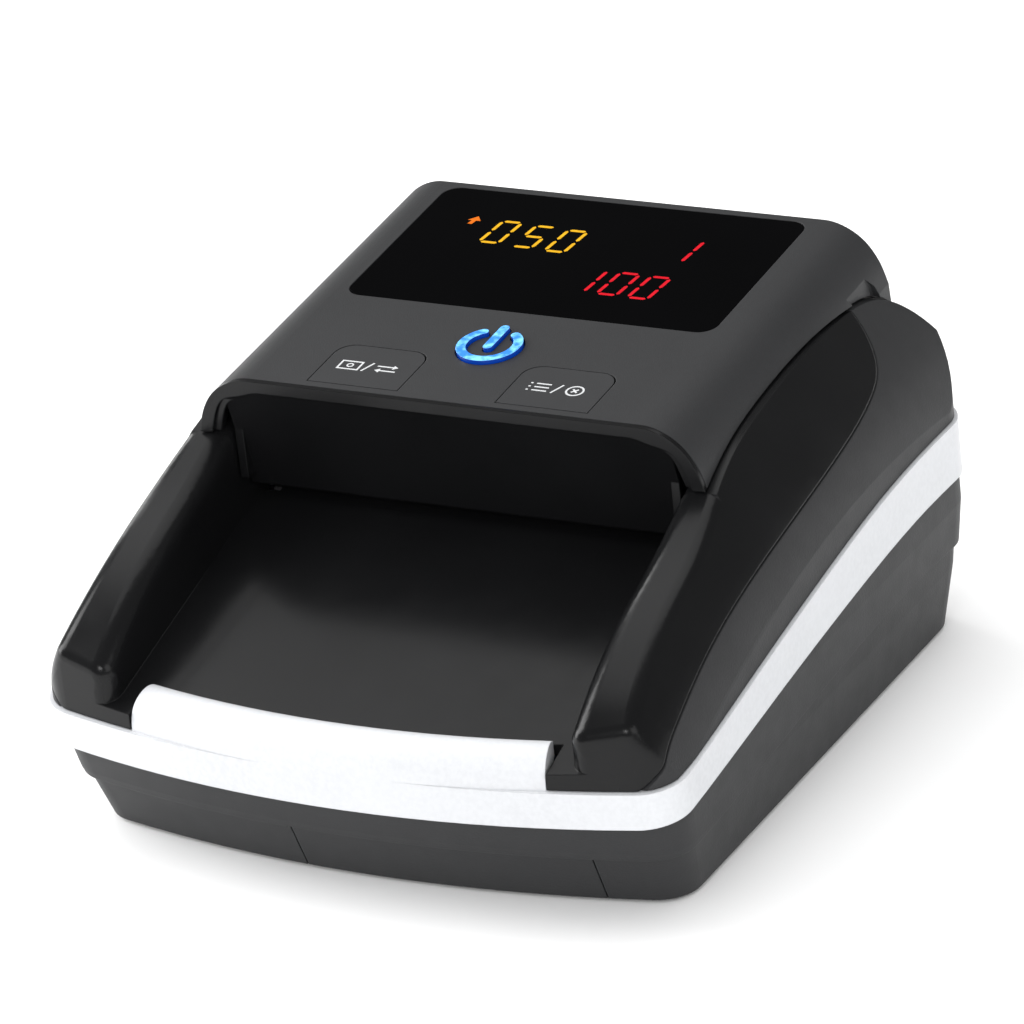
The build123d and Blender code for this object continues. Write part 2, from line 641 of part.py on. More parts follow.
def make_drive_rollers(name):
    """Two rubber rollers pressed on the shaft."""
    y, z = shaft_place(name)
    rollers = Part()
    for x in (-ROLLER_X, ROLLER_X):
        roller = rod((x - ROLLER_WIDTH / 2, x + ROLLER_WIDTH / 2), y, z, DRIVE_RADIUS)
        for edge in (-ROLLER_WIDTH / 6, ROLLER_WIDTH / 6):
            roller -= (rod((x + edge - 0.3, x + edge + 0.3), y, z, DRIVE_RADIUS + 1)
                       - rod((x - 9, x + 9), y, z, DRIVE_RADIUS - 0.5))
        rollers += roller - rod((x - 9, x + 9), y, z, SHAFT_RADIUS)
    return rollers


def flanged_pulley(y, z, radius, bore):
    """Belt pulley with thin flanges."""
    low = -PULLEY_X - PULLEY_WIDTH / 2
    high = -PULLEY_X + PULLEY_WIDTH / 2
    body = rod((low, high), y, z, radius)
    body += rod((low, low + 0.5), y, z, radius + 1.0)
    body += rod((high - 0.5, high), y, z, radius + 1.0)
    return body - rod((low - 1, high + 1), y, z, bore)


def make_pulley(name):
    """Pulley on a drive shaft."""
    y, z = shaft_place(name)
    return flanged_pulley(y, z, PULLEY_RADIUS, SHAFT_RADIUS)


def make_belt():
    """Flat drive belt round the motor pulley and the three shaft pulleys."""
    circles = [(shaft_place(name), PULLEY_RADIUS) for name in SHAFT_S]
    circles.append(((MOTOR_Y, MOTOR_Z), MOTOR_PULLEY_RADIUS))

    def loop(extra):
        arcs = [Pos(y, z) * Circle(radius + extra).edge() for (y, z), radius in circles]
        return make_hull(arcs)
    ring = loop(BELT_GAP + BELT_THICKNESS) - loop(BELT_GAP)
    return across(ring, (-PULLEY_X - BELT_WIDTH / 2, -PULLEY_X + BELT_WIDTH / 2))


def make_bushes():
    """Bronze bushes in the side plates."""
    bushes = Part()
    for name in SHAFT_S:
        y, z = shaft_place(name)
        ring = rod((PLATE_X - 0.6, PLATE_X + PLATE_THICKNESS + 0.6), y, z, 3.4)
        bushes += ring - rod((0, 90), y, z, SHAFT_RADIUS + RUNNING_FIT)
    return mirrored(bushes)


def make_side_plate(side):
    """Steel side plate that stands in the base and carries the shafts."""
    low = path_point(62.0, -FLOOR_THICKNESS - 1.0)
    high = path_point(130.0, -FLOOR_THICKNESS - 1.0)
    face = make_face(Polyline((-14, 4.5), (54, 4.5), high, low, (-14, 4.5)).edges())
    x = sorted((side * PLATE_X, side * (PLATE_X + PLATE_THICKNESS)))
    plate = across(face, x)
    for name in SHAFT_S:
        y, z = shaft_place(name)
        plate -= rod((x[0] - 1, x[1] + 1), y, z, 3.4)
    if side < 0:
        plate -= rod((x[0] - 1, x[1] + 1), MOTOR_Y, MOTOR_Z, 3.4)
    return plate


def make_motor():
    """Motor can with its front boss."""
    can = rod((-PLATE_X, -PLATE_X + MOTOR_LENGTH), MOTOR_Y, MOTOR_Z, MOTOR_RADIUS)
    boss = rod((-PLATE_X - PLATE_THICKNESS, -PLATE_X), MOTOR_Y, MOTOR_Z, 3.3)
    cap = rod((-PLATE_X + MOTOR_LENGTH, -PLATE_X + MOTOR_LENGTH + 2.4), MOTOR_Y, MOTOR_Z, 4.0)
    hole = rod((-PLATE_X - 5, -PLATE_X + MOTOR_LENGTH + 0.4), MOTOR_Y, MOTOR_Z, 1.0 + RUNNING_FIT)
    return can + boss + cap - hole


def make_motor_shaft():
    """Motor shaft."""
    return rod((-PULLEY_X - 2.6, -PLATE_X + MOTOR_LENGTH), MOTOR_Y, MOTOR_Z, 1.0)


def make_motor_pulley():
    """Small pulley on the motor shaft."""
    return flanged_pulley(MOTOR_Y, MOTOR_Z, MOTOR_PULLEY_RADIUS, 1.0)


def make_pinch_axle(name):
    """Steel axle of a pinch roller pair."""
    y, z = path_point(SHAFT_S[name], pinch_n())
    return rod((-36, 36), y, z, PINCH_SHAFT_RADIUS)


def make_pinch_rollers(name):
    """Two small rollers over the drive rollers."""
    y, z = path_point(SHAFT_S[name], pinch_n())
    rollers = Part()
    for x in (-ROLLER_X, ROLLER_X):
        rollers += rod((x - 4, x + 4), y, z, PINCH_RADIUS) - rod((x - 9, x + 9), y, z, PINCH_SHAFT_RADIUS)
    return rollers


def make_sensor_glass():
    """Glass strip over the lower optical sensors, flush with the tray floor."""
    return slab((SENSOR_S - 4, SENSOR_S + 4), (-1.2, -0.05), 36)


def make_upper_sensor():
    """Optical sensor bar in the upper guide."""
    return slab((SENSOR_S - 4, SENSOR_S + 4), (NOTE_GAP + 0.05, NOTE_GAP + 1.2), 36)


def make_magnetic_head():
    """Magnetic reading head in the tray floor."""
    return slab((MAGNET_S - 3, MAGNET_S + 3), (-7, -0.05), 10)


def make_main_board():
    """Main circuit board in the base."""
    x, y = BOARD
    board = block(x, y, (BOARD_Z, BOARD_Z + 1.6))
    for place in BOARD_SCREWS:
        board -= standoff(*place, (0, 20), 1.3)
    return board


def make_board_screws():
    """Screws of the main board."""
    screws = Part()
    for place in BOARD_SCREWS:
        screws += standoff(*place, (BOARD_Z + 1.6, BOARD_Z + 3.2), 2.4)
    return screws


def make_battery():
    """Rechargeable pack behind the access door."""
    pack = block(BATTERY_X, BATTERY_Y, BATTERY_Z)
    return fillet(pack.edges().filter_by(Axis.Z), 2.0)


def make_feet():
    """Rubber feet."""
    feet = Part()
    for x, y in corner_points(*FOOT_XY):
        feet += standoff(x, y, (0, BASE_BOTTOM + 1.4), FOOT_RADIUS)
    return feet


def make_base_screws():
    """Screws that close the base from below."""
    screws = Part()
    for x, y in corner_points(*SCREW_XY):
        screws += standoff(x, y, (3.0, 5.0), 2.8) + standoff(x, y, (5.0, 15.0), 1.5)
    return screws


def make_buzzer():
    """Sounder on the main board."""
    return Pos(28, 4, BOARD_Z + 1.6) * Cylinder(6, 6.5, align=CENTRE_LOW)


def parts():
    """Every sub-part by name."""
    key_x = (KEY_X[0] + KEY_X[1]) / 2
    key_v = (KEY_V[0] + KEY_V[1]) / 2
    made = {
        "base_shell": make_base_shell(),
        "access_door": make_access_door(),
        "trim_band": make_trim(),
        "feed_tray": make_feed_tray(),
        "outer_cover": make_outer_cover(),
        "hinge_pins": make_hinge_pins(),
        "head_cover": make_head_cover(),
        "head_bezel": make_head_bezel(),
        "upper_guide": make_upper_guide(),
        "display_window": make_window(),
        "display_board": make_display_board(),
        "digit_modules": make_digit_modules(),
        "key_board": make_key_board(),
        "left_key": make_key((-KEY_X[1], -KEY_X[0])),
        "right_key": make_key(KEY_X),
        "power_key": make_power_key(),
        "left_switch": make_switch(-key_x, key_v),
        "right_switch": make_switch(key_x, key_v),
        "power_switch": make_switch(POWER_X, POWER_V),
        "left_dome": make_dome(-key_x, key_v),
        "right_dome": make_dome(key_x, key_v),
        "power_dome": make_dome(POWER_X, POWER_V),
        "motor": make_motor(),
        "motor_shaft": make_motor_shaft(),
        "motor_pulley": make_motor_pulley(),
        "drive_belt": make_belt(),
        "shaft_bushes": make_bushes(),
        "side_plate_left": make_side_plate(-1),
        "side_plate_right": make_side_plate(1),
        "sensor_glass": make_sensor_glass(),
        "upper_sensor": make_upper_sensor(),
        "magnetic_head": make_magnetic_head(),
        "main_board": make_main_board(),
        "board_screws": make_board_screws(),
        "battery_pack": make_battery(),
        "rubber_feet": make_feet(),
        "base_screws": make_base_screws(),
        "dc_jack": make_dc_jack(),
        "buzzer": make_buzzer(),
    }
    for name in SHAFT_S:
        made[name + "_shaft"] = make_drive_shaft(name)
        made[name + "_rollers"] = make_drive_rollers(name)
        made[name + "_pulley"] = make_pulley(name)
        made[name + "_pinch_axle"] = make_pinch_axle(name)
        made[name + "_pinch_rollers"] = make_pinch_rollers(name)
    return made


def main():
    """Writes one STEP file for each sub-part."""
    os.makedirs("parts", exist_ok=True)
    for name, shape in parts().items():
        shape.label = name
        export_step(shape, "parts/" + name + ".step")


main()
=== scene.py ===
"""Looks of a desktop banknote counting machine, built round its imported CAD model."""

import math

import bmesh
import bpy
from mathutils import Matrix, Vector


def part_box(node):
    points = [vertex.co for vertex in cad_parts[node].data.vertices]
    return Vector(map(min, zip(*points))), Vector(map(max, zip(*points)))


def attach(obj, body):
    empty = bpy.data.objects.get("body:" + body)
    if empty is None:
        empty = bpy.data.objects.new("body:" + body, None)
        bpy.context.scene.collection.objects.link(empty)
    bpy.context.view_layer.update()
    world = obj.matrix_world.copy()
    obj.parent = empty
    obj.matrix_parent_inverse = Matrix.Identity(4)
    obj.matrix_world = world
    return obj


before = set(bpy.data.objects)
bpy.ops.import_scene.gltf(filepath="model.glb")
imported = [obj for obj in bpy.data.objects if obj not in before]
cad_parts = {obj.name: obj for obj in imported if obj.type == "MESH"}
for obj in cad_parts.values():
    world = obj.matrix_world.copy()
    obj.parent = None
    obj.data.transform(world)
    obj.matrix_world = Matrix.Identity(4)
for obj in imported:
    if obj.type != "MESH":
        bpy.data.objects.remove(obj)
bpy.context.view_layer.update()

MM = 0.001
HEAD_ORIGIN = (0.0, -18.8, 80.6)
HEAD_SLOPE = math.atan(0.081)
CAMERA_AZIMUTH = math.radians(30.0)
CAMERA_ELEVATION = math.radians(25.0)
CAMERA_ROLL = math.radians(-6.543)
CAMERA_TARGET = (15.05, -22.2, 60.12)
CAMERA_DISTANCE = 1340.1
CAMERA_LENS = 241.4


# ---------------------------------------------------------------- materials

class Shader:
    """A node material with short calls for the textures used here."""

    def __init__(self, name):
        self.material = bpy.data.materials.new(name)
        self.material.use_nodes = True
        self.tree = self.material.node_tree
        self.bsdf = self.tree.nodes["Principled BSDF"]
        self.place = self.node("ShaderNodeTexCoord").outputs["Object"]

    def node(self, kind, **settings):
        made = self.tree.nodes.new(kind)
        for key, value in settings.items():
            setattr(made, key, value)
        return made

    def join(self, source, target):
        self.tree.links.new(source, target)

    def set(self, **sockets):
        for key, value in sockets.items():
            self.bsdf.inputs[key.replace("_", " ")].default_value = value

    def stretched(self, factors):
        scale = self.node("ShaderNodeMapping")
        scale.inputs["Scale"].default_value = factors
        self.join(self.place, scale.inputs["Vector"])
        return scale.outputs["Vector"]

    def noise(self, size, detail=2.0, place=None):
        """Noise whose blotches are about size millimetres across."""
        made = self.node("ShaderNodeTexNoise")
        made.inputs["Scale"].default_value = 1.0 / (size * MM)
        made.inputs["Detail"].default_value = detail
        self.join(place or self.place, made.inputs["Vector"])
        return made.outputs["Fac"]

    def cells(self, size, feature="F1", randomness=1.0, metric="EUCLIDEAN", place=None):
        made = self.node("ShaderNodeTexVoronoi", feature=feature)
        if feature != "DISTANCE_TO_EDGE":
            made.distance = metric
        made.inputs["Scale"].default_value = 1.0 / (size * MM)
        made.inputs["Randomness"].default_value = randomness
        self.join(place or self.place, made.inputs["Vector"])
        return made.outputs["Distance"]

    def levels(self, value, low, high, out_low=0.0, out_high=1.0):
        made = self.node("ShaderNodeMapRange")
        made.inputs["From Min"].default_value = low
        made.inputs["From Max"].default_value = high
        made.inputs["To Min"].default_value = out_low
        made.inputs["To Max"].default_value = out_high
        self.join(value, made.inputs["Value"])
        return made.outputs["Result"]

    def mix(self, factor, first, second):
        made = self.node("ShaderNodeMix", data_type="RGBA")
        colours = [s for s in made.inputs if s.type == "RGBA"]
        self.join(factor, made.inputs["Factor"])
        for socket, colour in zip(colours, (first, second)):
            if isinstance(colour, tuple):
                socket.default_value = (*colour, 1.0)
            else:
                self.join(colour, socket)
        return [s for s in made.outputs if s.type == "RGBA"][0]

    def edge_highlight_mask(self, radius, strength):
        """Mask for painted edge highlights: high where the surface turns sharply."""
        soft = self.node("ShaderNodeBevel", samples=4)
        soft.inputs["Radius"].default_value = radius * MM
        facing = self.node("ShaderNodeNewGeometry").outputs["Normal"]
        dot = self.node("ShaderNodeVectorMath", operation="DOT_PRODUCT")
        self.join(soft.outputs["Normal"], dot.inputs[0])
        self.join(facing, dot.inputs[1])
        return self.levels(dot.outputs["Value"], 0.98, 0.75, 0.0, strength)

    def relief(self, height, depth, strength=1.0, edge=0.0, after=None):
        """Bump of depth millimetres over rounded edges or over an earlier bump."""
        bump = self.node("ShaderNodeBump")
        bump.inputs["Distance"].default_value = depth * MM
        bump.inputs["Strength"].default_value = strength
        self.join(height, bump.inputs["Height"])
        if after is not None:
            self.join(after, bump.inputs["Normal"])
        elif edge:
            soft = self.node("ShaderNodeBevel", samples=4)
            soft.inputs["Radius"].default_value = edge * MM
            self.join(soft.outputs["Normal"], bump.inputs["Normal"])
        return bump.outputs["Normal"]

    def finish(self, colour=None, roughness=None, normal=None):
        if colour is not None:
            self.join(colour, self.bsdf.inputs["Base Color"])
        if roughness is not None:
            self.join(roughness, self.bsdf.inputs["Roughness"])
        if normal is not None:
            self.join(normal, self.bsdf.inputs["Normal"])
        return self.material


def shade(colour, factor):
    return tuple(min(1.0, channel * factor) for channel in colour)


def moulded(name, colour, rough, grain, depth, edge=0.3, spread=0.05, highlight_strength=0.25, **sockets):
    """Moulded plastic: fine tooling texture, faint flow marks and a painted highlight that lightens sharp
    edges.
    """
    s = Shader(name)
    s.set(**sockets)
    tone = s.levels(s.noise(22.0, 3.0), 0.3, 0.7)
    body = s.mix(tone, shade(colour, 1.0 - spread), shade(colour, 1.0 + spread))
    speck = s.levels(s.noise(grain * 1.7, 2.0), 0.35, 0.65)
    body = s.mix(speck, body, s.mix(tone, shade(colour, 1.0 + spread), shade(colour, 1.0 + 2 * spread)))
    # painted highlight: sharp edges are mixed towards a much lighter copy of the plastic's colour
    body = s.mix(s.edge_highlight_mask(edge * 1.4, highlight_strength), body, shade(colour, 2.6))
    smudge = s.levels(s.noise(5.0, 4.0), 0.35, 0.7, rough * 0.96, min(1.0, rough * 1.05))
    pits = s.levels(s.cells(grain), 0.0, 0.7)
    height = s.relief(pits, depth, 0.6, edge=edge)
    height = s.relief(s.noise(grain * 0.5, 1.0), depth * 0.5, 0.4, after=height)
    return s.finish(body, smudge, height)


def glossy(name, colour, rough=0.09, edge=0.35, **sockets):
    """Polished plastic with fine hairlines, dust specks and a slight ripple."""
    s = Shader(name)
    s.set(**sockets)
    tone = s.levels(s.noise(30.0, 2.0), 0.3, 0.7)
    body = s.mix(tone, shade(colour, 0.85), shade(colour, 1.2))
    dust = s.levels(s.cells(1.3), 0.075, 0.05, 0.0, 0.3)
    body = s.mix(dust, body, shade(colour, 5.0))
    hair = s.noise(0.35, 2.0, s.stretched((1.0, 0.06, 0.5)))
    smudge = s.levels(s.noise(6.0, 4.0), 0.35, 0.75, rough * 0.92, rough * 1.12)
    height = s.relief(s.noise(8.0, 1.0), 0.004, 0.3, edge=edge)
    height = s.relief(hair, 0.002, 0.25, after=height)
    return s.finish(body, smudge, height)


def metal(name, colour, rough, stretch, **sockets):
    """Turned or brushed metal with drawn streaks and a few darker stains."""
    s = Shader(name)
    s.set(Metallic=1.0, **sockets)
    streak = s.noise(0.4, 3.0, s.stretched(stretch))
    stain = s.levels(s.noise(7.0, 4.0), 0.45, 0.75)
    body = s.mix(stain, colour, shade(colour, 0.72))
    body = s.mix(s.levels(streak, 0.3, 0.7), body, shade(colour, 1.12))
    shine = s.levels(streak, 0.3, 0.7, rough * 0.75, rough * 1.35)
    return s.finish(body, shine, s.relief(streak, 0.012, 0.5, edge=0.15))


def rubber(name, colour, rough, ribs=0.0):
    """Rubber with a dusty bloom; ribs are moulded lines this many millimetres apart."""
    s = Shader(name)
    s.set(Specular_IOR_Level=0.3, Sheen_Weight=0.15, Sheen_Roughness=0.6)
    bloom = s.levels(s.noise(3.5, 5.0), 0.4, 0.75)
    body = s.mix(bloom, colour, shade(colour, 2.1))
    rough_map = s.levels(s.noise(1.6, 3.0), 0.3, 0.7, rough * 0.9, min(1.0, rough * 1.1))
    height = s.relief(s.noise(0.25, 2.0), 0.03, 0.5, edge=0.2)
    if ribs:
        wave = s.node("ShaderNodeTexWave", bands_direction="X")
        wave.inputs["Scale"].default_value = 1.0 / (ribs * MM) / 3.3
        s.join(s.place, wave.inputs["Vector"])
        height = s.relief(wave.outputs["Fac"], 0.12, 0.7, after=height)
    return s.finish(body, rough_map, height)


def circuit(name, colour):
    """Solder mask over copper tracks, with tinned pads."""
    s = Shader(name)
    s.set(Coat_Weight=0.4, Coat_Roughness=0.2)
    tracks = s.levels(s.cells(5.5, "DISTANCE_TO_EDGE", 0.8), 0.045, 0.03)
    mask = s.mix(s.levels(s.noise(12.0), 0.3, 0.7), shade(colour, 0.8), shade(colour, 1.2))
    body = s.mix(tracks, mask, shade(colour, 1.9))
    pads = s.levels(s.cells(2.54, randomness=0.12), 0.2, 0.17)
    body = s.mix(pads, body, (0.72, 0.6, 0.33))
    rough_map = s.levels(s.noise(2.0), 0.3, 0.7, 0.3, 0.45)
    height = s.relief(tracks, 0.04, 0.7, edge=0.15)
    return s.finish(body, rough_map, s.relief(pads, 0.05, 0.6, after=height))


def lit(name, colour, strength):
    """Glowing segment behind the smoked window, its glow varying in small patches."""
    s = Shader(name)
    s.set(Roughness=0.5, Specular_IOR_Level=0.05, Emission_Strength=strength)
    glow = s.mix(s.levels(s.noise(0.8, 1.0), 0.3, 0.7), shade(colour, 0.8), shade(colour, 1.1))
    s.join(glow, s.bsdf.inputs["Emission Color"])
    return s.finish(s.mix(s.noise(0.8, 1.0), shade(colour, 0.2), shade(colour, 0.3)))


def printed(name, colour):
    """Screen-printed ink with a slightly broken surface."""
    s = Shader(name)
    ink = s.mix(s.levels(s.noise(0.35, 3.0), 0.35, 0.65), shade(colour, 0.82), colour)
    rough_map = s.levels(s.noise(0.5), 0.3, 0.7, 0.45, 0.65)
    return s.finish(ink, rough_map, s.relief(s.noise(0.12), 0.01, 0.5))


def lens_blue(name):
    """Blue light-guide sign with trapped swirls; its bright cyan top and deep blue flanks are painted
    highlight and shade, picked by which way each face points.
    """
    s = Shader(name)
    s.set(Coat_Weight=1.0, Coat_Roughness=0.03, IOR=1.49, Emission_Strength=0.35)
    facing = s.node("ShaderNodeSeparateXYZ")
    s.join(s.node("ShaderNodeNewGeometry").outputs["Normal"], facing.inputs[0])
    # painted highlight and shade: faces pointing up get the bright cyan, side faces stay deep blue
    top = s.levels(facing.outputs["Z"], 0.55, 0.95)
    swirl = s.levels(s.noise(2.2, 3.0), 0.4, 0.62)
    bright = s.mix(swirl, (0.02, 0.2, 0.75), (0.2, 0.62, 1.0))
    body = s.mix(top, (0.0, 0.035, 0.3), bright)
    # the glow takes the same painted highlight and shade
    s.join(body, s.bsdf.inputs["Emission Color"])
    rough_map = s.levels(s.noise(1.0), 0.3, 0.7, 0.06, 0.16)
    return s.finish(body, rough_map, s.relief(s.noise(1.5, 2.0), 0.12, 0.5, edge=0.35))


def wrapped(name, colour):
    """Shrink film over cells: soft wrinkles and a glossy skin."""
    s = Shader(name)
    s.set(Coat_Weight=0.6, Coat_Roughness=0.12)
    body = s.mix(s.levels(s.noise(6.0, 4.0), 0.35, 0.7), shade(colour, 0.7), shade(colour, 1.3))
    folds = s.noise(2.5, 3.0, s.stretched((0.25, 1.0, 1.0)))
    rough_map = s.levels(s.noise(4.0), 0.3, 0.7, 0.22, 0.4)
    return s.finish(body, rough_map, s.relief(folds, 0.12, 0.5, edge=0.3))


def tinted_glass(name):
    s = Shader(name)
    s.set(Transmission_Weight=0.75, IOR=1.5, Coat_Weight=0.3)
    body = s.mix(s.levels(s.noise(8.0, 3.0), 0.3, 0.7), (0.42, 0.48, 0.54), (0.56, 0.6, 0.64))
    rough_map = s.levels(s.noise(3.0, 4.0), 0.3, 0.75, 0.04, 0.14)
    return s.finish(body, rough_map, s.relief(s.noise(6.0), 0.01, 0.4, edge=0.15))


CHARCOAL = (0.026, 0.0265, 0.028)
BLACK = (0.0055, 0.0056, 0.006)

SHELL = moulded("charcoal_shell", shade(CHARCOAL, 0.8), 0.5, 0.42, 0.035, Specular_IOR_Level=0.3)
HEAD_SKIN = moulded("charcoal_head", shade(CHARCOAL, 0.95), 0.48, 0.34, 0.03, Specular_IOR_Level=0.3)
KEY_SKIN = moulded("key_plastic", shade(CHARCOAL, 1.05), 0.46, 0.26, 0.02, edge=0.25, Specular_IOR_Level=0.3)
PIANO = glossy("piano_black", BLACK, 0.22, Specular_IOR_Level=0.22)
INNER_BLACK = moulded("satin_black", (0.012, 0.012, 0.013), 0.34, 0.3, 0.015, spread=0.08)
WHITE = moulded("white_trim", (0.6, 0.61, 0.63), 0.34, 0.6, 0.012, spread=0.03, highlight_strength=0.0,
                Specular_IOR_Level=0.3)
WINDOW = glossy("smoked_window", (0.0008, 0.0008, 0.001), 0.06, edge=0.2, Specular_IOR_Level=0.02)
STEEL = metal("brushed_steel", (0.56, 0.56, 0.57), 0.28, (1.0, 0.05, 1.0), Anisotropic=0.5)
SHAFT_STEEL = metal("ground_steel", (0.62, 0.62, 0.63), 0.2, (1.0, 0.1, 0.1), Anisotropic=0.4)
BRONZE = metal("sintered_bronze", (0.5, 0.33, 0.17), 0.38, (1.0, 1.0, 1.0))
TYRE = rubber("roller_rubber", (0.028, 0.028, 0.03), 0.8, ribs=1.1)
FOOT = rubber("foot_rubber", (0.03, 0.03, 0.03), 0.85)
BELT = rubber("belt_rubber", (0.022, 0.022, 0.023), 0.7)
BOARD = circuit("circuit_board", (0.018, 0.1, 0.045))
DIGIT = moulded("digit_block", (0.02, 0.02, 0.022), 0.5, 0.3, 0.01, spread=0.06)
PART = moulded("component_black", (0.018, 0.018, 0.02), 0.42, 0.25, 0.012, spread=0.1)
POWER = lens_blue("power_blue")
BATTERY = wrapped("battery_film", (0.03, 0.1, 0.36))
GLASS = tinted_glass("sensor_window")
YELLOW = lit("segment_amber", (0.95, 0.5, 0.015), 0.75)
ORANGE = lit("segment_orange", (0.95, 0.2, 0.01), 0.7)
RED = lit("segment_red", (0.8, 0.008, 0.022), 0.75)
INK = printed("key_ink", (0.62, 0.63, 0.64))
TIN = metal("tinned_contacts", (0.66, 0.66, 0.64), 0.3, (1.0, 1.0, 0.2))

NODE_LOOKS = {
    SHELL: ["base_shell", "outer_cover", "access_door"],
    HEAD_SKIN: ["head_cover"],
    KEY_SKIN: ["left_key", "right_key"],
    PIANO: ["feed_tray", "head_bezel"],
    INNER_BLACK: ["upper_guide"],
    WHITE: ["trim_band", "left_dome", "right_dome", "power_dome"],
    WINDOW: ["display_window"],
    STEEL: ["side_plate_left", "side_plate_right", "motor", "board_screws", "base_screws"],
    SHAFT_STEEL: ["hinge_pins", "motor_shaft", "magnetic_head"],
    BRONZE: ["shaft_bushes"],
    TYRE: [],
    FOOT: ["rubber_feet"],
    BELT: ["drive_belt"],
    BOARD: ["display_board", "key_board", "main_board"],
    DIGIT: ["digit_modules"],
    PART: ["left_switch", "right_switch", "power_switch", "motor_pulley", "dc_jack", "buzzer",
           "upper_sensor"],
    POWER: ["power_key"],
    BATTERY: ["battery_pack"],
    GLASS: ["sensor_glass"],
}
for stage_name in ("feed", "transport", "exit"):
    NODE_LOOKS[SHAFT_STEEL] += [stage_name + "_shaft", stage_name + "_pinch_axle"]
    NODE_LOOKS[TYRE] += [stage_name + "_rollers", stage_name + "_pinch_rollers"]
    NODE_LOOKS[PART].append(stage_name + "_pulley")


def dress_nodes():
    for material, names in NODE_LOOKS.items():
        for name in names:
            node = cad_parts[name]
            for place in node.material_slots:
                place.material = material


# ---------------------------------------------------------------- mesh helpers

def head_point(u, v, w):
    """A point of the head's top plane in metres: u across, v to the rear, w up."""
    y = HEAD_ORIGIN[1] + v * math.cos(HEAD_SLOPE) - w * math.sin(HEAD_SLOPE)
    z = HEAD_ORIGIN[2] + v * math.sin(HEAD_SLOPE) + w * math.cos(HEAD_SLOPE)
    return Vector((u, y, z)) * MM


def on_head(x, y):
    """Plane coordinates of a point of the top plane given by its plan position."""
    return x, (y - HEAD_ORIGIN[1]) / math.cos(HEAD_SLOPE)


def finished(mesh, name, material, body):
    bmesh.ops.recalc_face_normals(mesh, faces=mesh.faces)
    data = bpy.data.meshes.new(name)
    mesh.to_mesh(data)
    mesh.free()
    piece = bpy.data.objects.new(name, data)
    bpy.context.scene.collection.objects.link(piece)
    data.materials.append(material)
    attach(piece, body)
    return piece


def add_prism(mesh, points, w):
    """A flat plate on the head's top plane from its outline in (u, v)."""
    low = [mesh.verts.new(head_point(u, v, w[0])) for u, v in points]
    high = [mesh.verts.new(head_point(u, v, w[1])) for u, v in points]
    mesh.faces.new(high)
    mesh.faces.new(low[::-1])
    for i in range(len(points)):
        j = (i + 1) % len(points)
        mesh.faces.new((low[i], low[j], high[j], high[i]))


def add_line(mesh, points, width, w, closed=False):
    """A printed line of even width along points on the head's top plane."""
    count = len(points)
    rings = []
    for i, (u, v) in enumerate(points):
        before = Vector(points[i - 1]) if closed or i else None
        after = Vector(points[(i + 1) % count]) if closed or i < count - 1 else None
        here = Vector((u, v))
        into = (here - before).normalized() if before is not None else (after - here).normalized()
        out = (after - here).normalized() if after is not None else into
        side = Vector((-into.y - out.y, into.x + out.x)).normalized()
        reach = width / 2 / max(0.35, side.dot(Vector((-into.y, into.x))))
        left = here + side * reach
        right = here - side * reach
        corners = ((*left, w[0]), (*right, w[0]), (*right, w[1]), (*left, w[1]))
        rings.append([mesh.verts.new(head_point(*corner)) for corner in corners])
    spans = count if closed else count - 1
    for i in range(spans):
        a = rings[i]
        b = rings[(i + 1) % count]
        for k in range(4):
            mesh.faces.new((a[k], a[(k + 1) % 4], b[(k + 1) % 4], b[k]))
    if not closed:
        mesh.faces.new(rings[0])
        mesh.faces.new(rings[-1][::-1])


# ---------------------------------------------------------------- display

SEGMENTS = {"0": "abcdef", "1": "bc", "5": "acdfg"}
BAR_WIDTH = 0.78
BAR_GAP = 0.32
GLYPH_WIDTH = 4.3
GLYPH_HEIGHT = 9.0
GLYPH_SLANT = 0.11
GLOW_LEVEL = (-0.045, -0.012)


def bar(start, end):
    """Six-sided outline of one segment between two corners of the figure."""
    a = Vector(start)
    b = Vector(end)
    along = (b - a).normalized()
    side = Vector((-along.y, along.x)) * BAR_WIDTH / 2
    a += along * BAR_GAP
    b -= along * BAR_GAP
    tip = along * BAR_WIDTH / 2
    return [a, a + tip + side, b - tip + side, b, b - tip - side, a + tip - side]


def add_glyph(mesh, digit, x, y):
    """A slanted seven-segment figure whose lower left corner is over (x, y)."""
    half = GLYPH_HEIGHT / 2
    corners = {
        "a": ((0, 2), (1, 2)), "b": ((1, 1), (1, 2)), "c": ((1, 0), (1, 1)), "d": ((0, 0), (1, 0)),
        "e": ((0, 0), (0, 1)), "f": ((0, 1), (0, 2)), "g": ((0, 1), (1, 1)),
    }
    u0, v0 = on_head(x, y)
    for name in SEGMENTS[digit]:
        ends = [(across * GLYPH_WIDTH, up * half) for across, up in corners[name]]
        outline = [(u0 + u + v * GLYPH_SLANT, v0 + v) for u, v in bar(*ends)]
        add_prism(mesh, outline, GLOW_LEVEL)


def make_display():
    amber = bmesh.new()
    for digit, x, y in (("0", -23.6, 44.1), ("5", -15.7, 43.6), ("0", -8.1, 43.2)):
        add_glyph(amber, digit, x, y)
    finished(amber, "lit_upper_figures", YELLOW, "head")
    red = bmesh.new()
    for digit, x, y in (("1", 17.9, 44.3), ("1", 3.6, 28.7), ("0", 10.9, 28.6), ("0", 17.9, 28.4)):
        add_glyph(red, digit, x, y)
    finished(red, "lit_count_figures", RED, "head")
    arrow = bmesh.new()
    u, v = on_head(-29.2, 52.3)
    outline = [(0.45, 1.7), (1.75, -0.1), (0.75, -0.1), (0.45, -1.6), (-0.55, -1.6), (-0.2, -0.1),
               (-1.2, -0.1)]
    add_prism(arrow, [(u + du, v + dv) for du, dv in outline], GLOW_LEVEL)
    finished(arrow, "lit_direction_arrow", ORANGE, "head")


# ---------------------------------------------------------------- key marks

